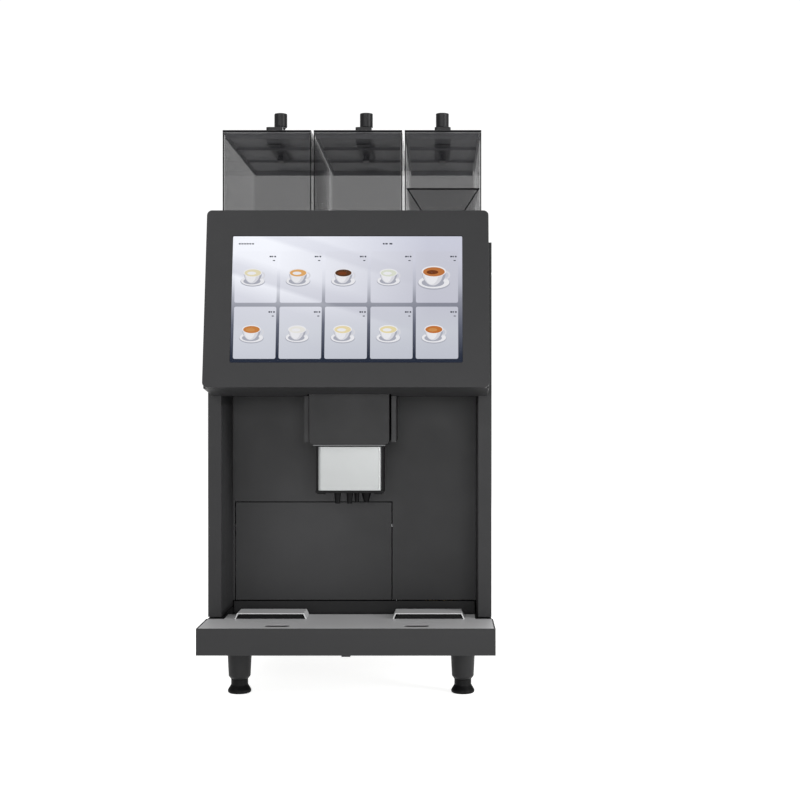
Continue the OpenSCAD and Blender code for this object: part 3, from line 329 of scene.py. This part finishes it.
LOOKS = {
    "steel_charcoal": charcoal, "frame_black": black_frame, "inner_steel": inner_metal,
    "head_plastic": charcoal_head, "recess_plastic": recess_skin, "black_plastic": black_part,
    "knob_plastic": knob_skin, "foot_rubber": rubber, "smoked_clear": hopper_clear,
    "silver_cover": silver, "plate_steel": grey_plate, "bright_metal": chrome,
    "brass_metal": brass, "white_plastic": white_part, "motor_metal": motor_metal,
    "board_green": board, "screen_picture": black_part, "screen_glass": black_part,
}
OWN_LOOK = {
    "lid_left": lid_clear_lit, "lid_middle": lid_clear_lit, "lid_powder": lid_clear_lit,
    "powder_trough": trough_clear, "drip_tray": tray_skin, "agitator_wheel": black_part,
    "spout_carriage": carriage_skin, "spout_head": black_part,
    "coffee_nozzles": black_part, "milk_nozzles": black_part,
}
SLOTS = {row["node"]: row["material_slot"] for row in frame["record"]["subparts"]}
BODY_OF = {node: body for body, members in frame["record"]["behaviour"]["bodies"].items()
           for node in members}
# How far each visible node's edges are rounded over, in millimetres
ROUNDED = {
    "base_frame": 0.5, "leg_sleeves": 0.6, "side_panel_left": 0.5, "side_panel_right": 0.5,
    "back_panel": 0.3, "top_deck": 0.6, "mains_inlet": 0.4, "water_inlet": 0.5,
    "boiler": 1.5, "water_pump": 1.0, "brew_frame": 1.0, "grinder_left": 1.5,
    "grinder_right": 1.5, "power_supply": 1.0, "mixer_bowl": 0.4, "power_switch": 0.4,
    "door_frame": 0.8, "recess_panel": 0.3, "head_shell": 1.2, "screen_bezel": 1.0,
    "spout_guide": 0.5, "door_lock": 0.4, "spout_carriage": 1.0, "spout_cover": 0.5,
    "spout_head": 0.5, "coffee_nozzles": 0.3, "milk_nozzles": 0.3, "drawer_front": 0.4,
    "grounds_bin": 0.6, "drip_tray": 0.9, "tray_plate": 0.25, "hopper_left": 0.6,
    "hopper_middle": 0.6, "hopper_powder": 0.6, "powder_trough": 0.3, "lid_left": 0.5,
    "lid_middle": 0.5, "lid_powder": 0.5, "lock_bar_left": 1.6, "lock_bar_middle": 1.6,
    "lock_bar_powder": 1.6, "knob_left": 1.4, "knob_middle": 1.4, "knob_powder": 1.4,
    "foot_front_left": 0.5, "foot_front_right": 0.5, "foot_back_left": 0.5,
    "foot_back_right": 0.5, "control_board": 0.2, "inner_frame": 0.3, "fan_frame": 0.5,
}


def dress_nodes():
    """Gives every CAD node its look, and rounds over the ones that show."""
    for node, thing in NODES.items():
        look = OWN_LOOK.get(node, LOOKS[SLOTS[node]])
        thing.data.materials.clear()
        thing.data.materials.append(look)
        if node in ROUNDED:
            skin = new_piece(node + "_skin", softened(node, ROUNDED[node]), look,
                             BODY_OF[node], SLOTS[node], node)
            # flat faces stay flat beside their rounded edges
            flat = skin.modifiers.new("flat_faces", "WEIGHTED_NORMAL")
            flat.weight = 100
            flat.keep_sharp = True


# ---------------------------------------------------------------- screen
HEAD_H = 0.242
HEAD_LEAN = 0.042
TILT = math.atan(HEAD_LEAN / HEAD_H)
ACROSS = Vector((1, 0, 0))
UP = Vector((0, math.sin(TILT), math.cos(TILT)))
OUT = Vector((0, -math.cos(TILT), math.sin(TILT)))
GLASS_LOW, GLASS_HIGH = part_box("display_glass")
SCREEN_MIDDLE = (GLASS_LOW + GLASS_HIGH) / 2
PICTURE_W, PICTURE_H = 312.0, 176.0
GLASS_HALF = 1.5


def on_screen(u, v, out):
    """A point of the picture: across, up and towards the viewer, in millimetres."""
    return SCREEN_MIDDLE + (ACROSS * u + UP * v + OUT * out) * MM


def patch(bm, outline, out, thick=0.12, index=0):
    """A thin flat plate with the given outline of (u, v) points."""
    front = [bm.verts.new(on_screen(u, v, out)) for u, v in outline]
    back = [bm.verts.new(on_screen(u, v, out - thick)) for u, v in outline]
    faces = [bm.faces.new(front), bm.faces.new(back[::-1])]
    count = len(outline)
    for i in range(count):
        j = (i + 1) % count
        faces.append(bm.faces.new((front[i], back[i], back[j], front[j])))
    for face in faces:
        face.material_index = index


def ellipse(u, v, a, b, steps=28, start=0.0, stop=360.0):
    closed = stop - start >= 360
    count = steps if closed else steps + 1
    return [(u + a * math.cos(math.radians(start + (stop - start) * i / steps)),
             v + b * math.sin(math.radians(start + (stop - start) * i / steps)))
            for i in range(count)]


def rounded(u0, v0, u1, v1, r, steps=5):
    points = []
    for cu, cv, start in ((u1 - r, v1 - r, 0), (u0 + r, v1 - r, 90),
                          (u0 + r, v0 + r, 180), (u1 - r, v0 + r, 270)):
        for i in range(steps + 1):
            a = math.radians(start + 90 * i / steps)
            points.append((cu + r * math.cos(a), cv + r * math.sin(a)))
    return points


def picture_material(name, stops, reflection_strength, reflection_low, reflection_high):
    """A lit sheet whose colour follows its height, with painted reflections of window light
    slanting across it.
    """
    n = Nodes(name)
    n.set(Roughness=0.6, Specular_IOR_Level=0.0, Emission_Strength=1.15,
          Base_Color=(0, 0, 0, 1))
    split = n.add("ShaderNodeSeparateXYZ")
    n.link(n.add("ShaderNodeTexCoord").outputs["Object"], split.inputs["Vector"])
    height = n.add("ShaderNodeMapRange", From_Min=SCREEN_MIDDLE.z - PICTURE_H * MM / 2,
                   From_Max=SCREEN_MIDDLE.z + PICTURE_H * MM / 2)
    n.link(split.outputs["Z"], height.inputs["Value"])
    color = n.ramp(height.outputs["Result"], stops)
    # painted reflections: bands of window light that slope down to the right and die out across
    # the sheet
    slant = n.add("ShaderNodeMath", operation="MULTIPLY_ADD")
    slant.inputs[1].default_value = 0.32
    n.link(split.outputs["X"], slant.inputs[0])
    n.link(split.outputs["Z"], slant.inputs[2])
    band = n.add("ShaderNodeMapRange", From_Min=SCREEN_MIDDLE.z - 0.11,
                 From_Max=SCREEN_MIDDLE.z + 0.09)
    n.link(slant.outputs[0], band.inputs["Value"])
    reflection_bands = n.ramp(band.outputs["Result"], [(stop, (level,) * 3) for stop, level in (
        (0.0, 0.4), (0.15, 0.3), (0.34, 0.45), (0.46, 0.9), (0.49, 0.4), (0.55, 0.5),
        (0.62, 0.9), (0.78, 0.95), (0.81, 0.6), (0.87, 0.65), (0.9, 0.95), (1.0, 0.95))])
    fade = n.add("ShaderNodeMapRange", From_Min=0.11, From_Max=-0.10)
    n.link(split.outputs["X"], fade.inputs["Value"])
    # painted reflection: the picture colour is mixed towards near-white where the bands fall,
    # more towards the top and the left
    mix = n.add("ShaderNodeMix", data_type="RGBA")
    n.link(color, mix.inputs[6])
    mix.inputs[7].default_value = (*srgb(246, 248, 255), 1)
    rise = n.add("ShaderNodeMapRange", From_Min=reflection_low, From_Max=reflection_high)
    n.link(height.outputs["Result"], rise.inputs["Value"])
    amount = n.times(reflection_bands, reflection_strength)
    amount = n.times(n.times(amount, fade.outputs["Result"]), rise.outputs["Result"])
    n.link(amount, mix.inputs[0])
    n.link(mix.outputs[2], n.shader.inputs["Emission Color"])
    return n.material


CARD_W, CARD_PITCH, CARD_LEFT = 57.0, 61.35, -152.2
ROWS = ((-5.0, 66.8), (-82.3, -10.5))
# Colour of each drink, left to right, upper row then lower row
DRINKS = (
    ((236, 226, 190), (232, 176, 110), (92, 58, 34), (226, 230, 214), (196, 122, 66)),
    ((206, 134, 70), (240, 238, 232), (240, 224, 178), (238, 224, 176), (202, 122, 58)),
)
CUP_SIZE = ((1.0, 1.0, 1.0, 0.96, 1.32), (1.0, 0.96, 1.0, 1.0, 1.02))


def make_screen():
    lcd_top = -GLASS_HALF
    bm = bmesh.new()
    patch(bm, rounded(-PICTURE_W / 2, -PICTURE_H / 2, PICTURE_W / 2, PICTURE_H / 2, 1.5),
          lcd_top + 0.4, 0.3)
    sheet = picture_material("picture_back", [
        (0.0, srgb(36, 42, 57)), (0.06, srgb(40, 46, 60)), (0.3, srgb(96, 100, 114)),
        (0.5, srgb(140, 142, 154)), (0.62, srgb(178, 180, 192)), (0.8, srgb(198, 199, 212)),
        (1.0, srgb(200, 202, 216))], reflection_strength=1.0, reflection_low=0.3, reflection_high=0.75)
    new_piece("screen_background", mesh_from("screen_background", bm), sheet, "door",
              "screen_picture")

    cards = bmesh.new()
    for v0, v1 in ROWS:
        for column in range(5):
            u0 = CARD_LEFT + CARD_PITCH * column
            patch(cards, rounded(u0, v0, u0 + CARD_W, v1, 2.4), lcd_top + 0.7, 0.2)
    card_look = picture_material("picture_cards", [
        (0.0, srgb(186, 189, 200)), (0.25, srgb(195, 198, 207)), (0.46, srgb(192, 193, 205)),
        (0.7, srgb(195, 196, 207)), (1.0, srgb(198, 199, 212))],
        reflection_strength=0.95, reflection_low=-0.4, reflection_high=0.7)
    new_piece("screen_cards", mesh_from("screen_cards", cards), card_look, "door",
              "screen_picture")

    marks = bmesh.new()
    for v0, v1 in ROWS:
        for column in range(5):
            right = CARD_LEFT + CARD_PITCH * column + CARD_W
            for k, width in enumerate((2.6, 1.7, 2.2)):
                u = right - 10.5 + 3.2 * k
                patch(marks, rounded(u, v1 - 8.4, u + width, v1 - 6.4, 0.4, 2),
                      lcd_top + 0.95, 0.1)
            patch(marks, rounded(right - 6, v1 - 13.6, right - 3, v1 - 12.4, 0.3, 2),
                  lcd_top + 0.95, 0.1)
    for k in range(6):
        patch(marks, rounded(-148 + 3.6 * k, 76.4, -145.4 + 3.6 * k, 78.2, 0.4, 2),
              lcd_top + 0.95, 0.1)
    for u, width in ((48, 2.4), (51.4, 3.2), (57, 4.0)):
        patch(marks, rounded(u, 76.4, u + width, 78.4, 0.4, 2), lcd_top + 0.95, 0.1)
    new_piece("screen_marks", mesh_from("screen_marks", marks),
              lit("picture_marks", srgb(58, 60, 72)), "door", "screen_picture")
    make_cups(lcd_top)

    glass = bmesh.new()
    patch(glass, rounded(-PICTURE_W / 2 - 3.8, -PICTURE_H / 2 - 3.8, PICTURE_W / 2 + 3.8,
                         PICTURE_H / 2 + 3.8, 3), GLASS_HALF, 0.9)
    clear = Nodes("screen_clear")
    clear.set(Alpha=0.06, Specular_IOR_Level=0.5)
    clear.vary_rough(0.09, 0.02, 80)
    clear.vary_color((0.02, 0.02, 0.025), 0.1, 10)
    new_piece("screen_glass_sheet", mesh_from("screen_glass_sheet", glass), clear.material,
              "door", "screen_glass", "display_glass")


def make_cups(lcd_top):
    """Cup-and-saucer pictures, in flat layers from the saucer up to the drink."""
    china = lit("picture_china", srgb(226, 226, 232))
    shade = lit("picture_china_shade", srgb(176, 178, 190))
    bright_china = lit("picture_china_light", srgb(244, 244, 248))
    colors = sorted({c for row in DRINKS for c in row})
    looks = [china, shade, bright_china] + [
        lit("picture_drink_%d" % i, srgb(*c)) for i, c in enumerate(colors)] + [
        lit("picture_crema_dark", srgb(120, 62, 30)), lit("picture_crema", srgb(214, 150, 88))]
    bm = bmesh.new()
    for row, (v0, _) in enumerate(ROWS):
        for column in range(5):
            s = CUP_SIZE[row][column]
            u = CARD_LEFT + CARD_PITCH * column + CARD_W / 2 - 4.2
            v = v0 + (36.2 if row == 0 else 34.9)
            layer = lcd_top + 1.0
            drink = 3 + colors.index(DRINKS[row][column])
            pale = sum(DRINKS[row][column]) > 420
            # saucer with its raised well
            patch(bm, ellipse(u, v - 6.6 * s, 16.6 * s, 7.2 * s), layer, 0.1, 1)
            patch(bm, ellipse(u, v - 5.9 * s, 16.0 * s, 6.6 * s), layer + 0.1, 0.1, 2)
            patch(bm, ellipse(u - 1.0 * s, v - 6.4 * s, 11.6 * s, 4.4 * s), layer + 0.2, 0.1, 1)
            # handle: a ring of short strokes to the right of the bowl
            ring_out = ellipse(u + 12.0 * s, v + 1.6 * s, 4.8 * s, 4.6 * s, 20, -110, 110)
            ring_in = ellipse(u + 11.8 * s, v + 1.6 * s, 3.2 * s, 3.0 * s, 20, -110, 110)
            for a, b, c, d in zip(ring_out, ring_out[1:], ring_in[1:], ring_in):
                patch(bm, [a, b, c, d], layer + 0.3, 0.1, 0)
            # bowl: rounded below, its lit side to the left, closed above by the rim
            patch(bm, ellipse(u, v + 5 * s, 12.2 * s, 15.2 * s, 22, 180, 360),
                  layer + 0.4, 0.1, 1)
            patch(bm, ellipse(u - 1.0 * s, v + 5 * s, 10.6 * s, 14.4 * s, 22, 180, 360),
                  layer + 0.5, 0.1, 0)
            patch(bm, ellipse(u - 2.4 * s, v + 5 * s, 7.4 * s, 13.2 * s, 22, 180, 360),
                  layer + 0.6, 0.1, 2)
            patch(bm, ellipse(u, v + 5.4 * s, 12.6 * s, 5.9 * s), layer + 0.7, 0.1, 2)
            patch(bm, ellipse(u, v + 5.0 * s, 11.2 * s, 4.9 * s), layer + 0.8, 0.1, drink)
            patch(bm, ellipse(u - 1.5 * s, v + 4.6 * s, 6.0 * s, 2.2 * s), layer + 0.9, 0.1,
                  2 if pale else 3 + len(colors) + (row + column) % 2)
    new_piece("screen_cups", mesh_from("screen_cups", bm), looks, "door", "screen_picture")


# ---------------------------------------------------------------- small pieces
# Cup plate, in metres: hood height, hood and mark distance from the middle, half a mark's
# length, and how far front to back the drains and the marks reach
HOOD_RISE, HOOD_OFF, MARK_OFF, MARK_HALF = 0.008, 0.110, 0.094, 0.0165
DRAIN_RANGE, MARK_RANGE = (-0.1690, -0.1320), (-0.2345, -0.2215)
# Lock pad, in metres: radius of the stem's hole, thickness, tail radius, side margin, and how
# far it sits below the lock bar
PAD_HOLE, PAD_THICK, PAD_TAIL, PAD_MARGIN, PAD_DROP = 0.0050, 0.0008, 0.010, 0.0015, 0.0050


def make_knob_washers():
    """A bright washer under each lock knob."""
    for name in HOPPERS:
        low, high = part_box("knob_" + name)
        middle = Vector(((low.x + high.x) / 2, low.y + 0.010,
                         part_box("lock_bar_" + name)[1].z))
        washer = lathe([(7.2, -1.6), (8.6, -1.4), (8.9, -0.7), (8.6, 0.0), (7.2, 0.1)], middle)
        new_piece("knob_washer_" + name, mesh_from("knob_washer_" + name, washer), chrome,
                  "lid_" + name, "bright_metal")


def make_screws():
    """Pan-head screws with a dished top, in place of the plain ones on the back."""
    low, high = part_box("panel_screws")
    heads = bmesh.new()
    xs = (low.x + 0.0035, high.x - 0.0035)
    zs = (low.z + 0.0035, (high.z + 0.012) / 2, high.z - 0.0035)
    profile = [(3.5, 0), (3.5, 0.6), (3.0, 1.2), (1.9, 1.55), (1.2, 1.0), (0.6, 0.8)]
    for x in xs:
        for z in zs:
            part = lathe(profile, Vector((x, low.y, z)), 20, backward=True)
            mesh = bpy.data.meshes.new("screw")
            part.to_mesh(mesh)
            part.free()
            heads.from_mesh(mesh)
            bpy.data.meshes.remove(mesh)
    new_piece("screw_heads", mesh_from("screw_heads", heads), chrome, "cabinet",
              "bright_metal", "panel_screws")


def make_hopper_edges():
    """Dark lines where the smoked walls and lids are seen through their thickness."""
    for name in HOPPERS:
        low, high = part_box("hopper_" + name)
        edges = bmesh.new()
        line, deep, skin = 0.0014, 0.0035, 0.0003
        for x in (low.x + skin, high.x - skin - line):
            add_box(edges, (x, low.y + skin, low.z + 0.001),
                   (x + line, low.y + skin + deep, high.z - 0.006))
        new_piece("hopper_edges_" + name, mesh_from("hopper_edges_" + name, edges), edge_dark,
                  "hopper_" + name, "smoked_clear")
        low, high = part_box("lid_" + name)
        front = bmesh.new()
        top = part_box("lock_bar_" + name)[0].z
        add_box(front, (low.x + skin, low.y - skin, top - 0.0036),
               (high.x - skin, low.y + skin, top - skin))
        new_piece("lid_edge_" + name, mesh_from("lid_edge_" + name, front), edge_dark,
                  "lid_" + name, "smoked_clear")


def make_lock_pads():
    """The dark pad under each lid, which the lock bar on top is screwed into."""
    for name in HOPPERS:
        low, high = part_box("lock_bar_" + name)
        stem_low, stem_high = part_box("knob_" + name)
        middle, stem = (low.x + high.x) / 2, stem_high.y - (stem_high.x - stem_low.x) / 2
        half = (high.x - low.x) / 2 - PAD_MARGIN
        under = low.z - PAD_DROP
        pad = bmesh.new()
        for side in (-1, 1):
            outline = [(0, low.y), (half, low.y)]
            outline += [(half * math.cos(math.radians(a)),
                         high.y - PAD_TAIL + PAD_TAIL * math.sin(math.radians(a)))
                        for a in range(0, 91, 15)]
            outline += [(PAD_HOLE * math.sin(math.radians(a)),
                         stem + PAD_HOLE * math.cos(math.radians(a)))
                        for a in range(0, 181, 20)]
            faces = [[pad.verts.new((middle + side * x, y, z)) for x, y in outline]
                     for z in (under, under - PAD_THICK)]
            close_prism(pad, *faces)
        new_piece("lock_pad_" + name, mesh_from("lock_pad_" + name, pad), black_part,
                  "lid_" + name, "black_plastic")


def make_recess_liners():
    """The recess colour on the inner faces of the two front columns."""
    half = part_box("recess_panel")[1].x
    front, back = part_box("door_frame")[0].y + 0.002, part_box("recess_panel")[0].y - 0.0005
    base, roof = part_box("tray_plate")[1].z + 0.0005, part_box("head_shell")[0].z - 0.012
    liners = bmesh.new()
    for x in (-half + 0.0001, half - 0.0005):
        add_box(liners, (x, front, base), (x + 0.0004, back, roof))
    new_piece("recess_liners", mesh_from("recess_liners", liners), recess_skin, "door",
              "recess_plastic")


def make_spout_lip():
    """The thin metal flange between the spout's carriage and its cover."""
    low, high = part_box("spout_carriage")
    middle = (low.x + high.x) / 2
    top = low.z - 0.0003
    lip = bmesh.new()
    add_box(lip, (middle - 0.050, low.y + 0.0004, top - 0.0014),
           (middle + 0.050, low.y + 0.0105, top))
    bmesh.ops.bevel(lip, geom=lip.edges[:], offset=0.0004, segments=2, affect="EDGES")
    new_piece("spout_lip", mesh_from("spout_lip", lip), lip_metal, "spout", "silver_cover")


def make_plate_well_shade():
    """Black fills under the two hoods and at the bottoms of the finger marks: painted shade for
    the dark drain openings and the deep slots.
    """
    low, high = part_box("tray_plate")
    middle, top = (low.x + high.x) / 2, high.z - HOOD_RISE
    wells = bmesh.new()
    for side in (-1, 1):
        drain, mark = middle + side * HOOD_OFF, middle + side * MARK_OFF
        # a black wedge filling the space under each hood: painted shade of the drain opening
        corners = ((-0.0482, 0.0002), (-0.0422, 0.0064), (0.0422, 0.0064), (0.0482, 0.0002))
        front, back = ([wells.verts.new((drain + across, y, top + up))
                        for across, up in corners] for y in DRAIN_RANGE)
        close_prism(wells, front, back)
        # a black floor under each finger mark: painted shade of the slot's depth
        add_box(wells, (mark - MARK_HALF, MARK_RANGE[0], top - 0.0008),
                (mark + MARK_HALF, MARK_RANGE[1], top - 0.0003))
    new_piece("plate_well_shade", mesh_from("plate_well_shade", wells), black_part, "cup_plate",
              "black_plastic")


def beam(bm, start, stop, across, deep):
    """A square-edged strip from one point to another in the X-Z plane, in metres."""
    run = Vector(stop) - Vector(start)
    side = Vector((run.z, 0, -run.x)).normalized() * across / 2
    back = Vector((0, deep, 0))
    ring = [Vector(start) + side, Vector(start) - side, Vector(start) - side + back,
            Vector(start) + side + back]
    near = [bm.verts.new(p) for p in ring]
    far = [bm.verts.new(p + run) for p in ring]
    bm.faces.new(near)
    bm.faces.new(far)
    for i in range(4):
        j = (i + 1) % 4
        bm.faces.new((near[i], near[j], far[j], far[i]))


def make_trough_seal():
    """A dark seal along the rim and the leaning edges of the powder trough's front."""
    low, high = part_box("powder_trough")
    middle = (low.x + high.x) / 2
    y = low.y - 0.0002
    rim = high.z - 0.0012
    seal = bmesh.new()
    beam(seal, (low.x, y, rim), (high.x, y, rim), 0.0022, 0.004)
    for side in (-1, 1):
        top = Vector((middle + side * (high.x - middle - 0.0012), y, rim))
        beam(seal, top, top + Vector((-side * 0.0335, 0, -0.052)), 0.0020, 0.0016)
    new_piece("trough_seal", mesh_from("trough_seal", seal), rubber, "hopper_powder",
              "black_plastic")


# ---------------------------------------------------------------- stage and light
def make_stage():
    floor = Nodes("floor_white")
    floor.set(Roughness=0.9, Specular_IOR_Level=0.0, Emission_Strength=0.84)
    floor.shader.inputs["Emission Color"].default_value = (1, 1, 0.995, 1)
    floor.vary_color((0.8, 0.8, 0.795), 0.003, 2)
    bm = bmesh.new()
    reach = 9.0
    bm.faces.new([bm.verts.new(c) for c in
                  ((-reach, -reach, 0), (reach, -reach, 0), (reach, reach, 0),
                   (-reach, reach, 0))])
    mesh = bpy.data.meshes.new("floor")
    bm.to_mesh(mesh)
    bm.free()
    mesh.materials.append(floor.material)
    ground = bpy.data.objects.new("floor", mesh)
    bpy.context.scene.collection.objects.link(ground)


def area_light(name, place, target, size, power):
    data = bpy.data.lights.new(name, "AREA")
    data.shape = "RECTANGLE"
    data.size, data.size_y = size
    data.energy = power
    lamp = bpy.data.objects.new(name, data)
    lamp.location = place
    lamp.rotation_euler = (Vector(target) - Vector(place)).to_track_quat("-Z", "Y").to_euler()
    bpy.context.scene.collection.objects.link(lamp)


def make_light():
    world = bpy.data.worlds.new("studio")
    bpy.context.scene.world = world
    world.use_nodes = True
    tree = world.node_tree
    background = tree.nodes["Background"]
    background.inputs["Color"].default_value = (1, 1, 1, 1)
    path = tree.nodes.new("ShaderNodeLightPath")
    level = tree.nodes.new("ShaderNodeMapRange")
    level.inputs["To Min"].default_value = 0.34
    level.inputs["To Max"].default_value = 1.05
    tree.links.new(path.outputs["Is Camera Ray"], level.inputs["Value"])
    tree.links.new(level.outputs["Result"], background.inputs["Strength"])
    middle = (0, 0, 0.4)
    area_light("key", (-1.3, -2.6, 2.2), middle, (1.4, 1.4), 30)
    area_light("front", (0.25, -3.6, 0.75), (0, 0, 0.42), (1.5, 0.9), 42)
    area_light("fill", (2.6, -1.6, 1.0), middle, (1.2, 1.6), 48)
    area_light("side", (1.9, -1.3, 0.30), (-0.19, -0.16, 0.30), (0.5, 0.9), 9)
    area_light("top", (0.0, 0.3, 3.0), middle, (2.2, 1.8), 18)
    area_light("back", (0.5, 3.0, 1.8), middle, (2.0, 2.0), 18)
    bpy.context.scene.view_settings.view_transform = "Standard"
    bpy.context.scene.view_settings.look = "None"


make_camera()
dress_nodes()
make_screen()
make_knob_washers()
make_screws()
make_trough_seal()
make_hopper_edges()
make_lock_pads()
make_recess_liners()
make_plate_well_shade()
make_spout_lip()
make_stage()
make_light()
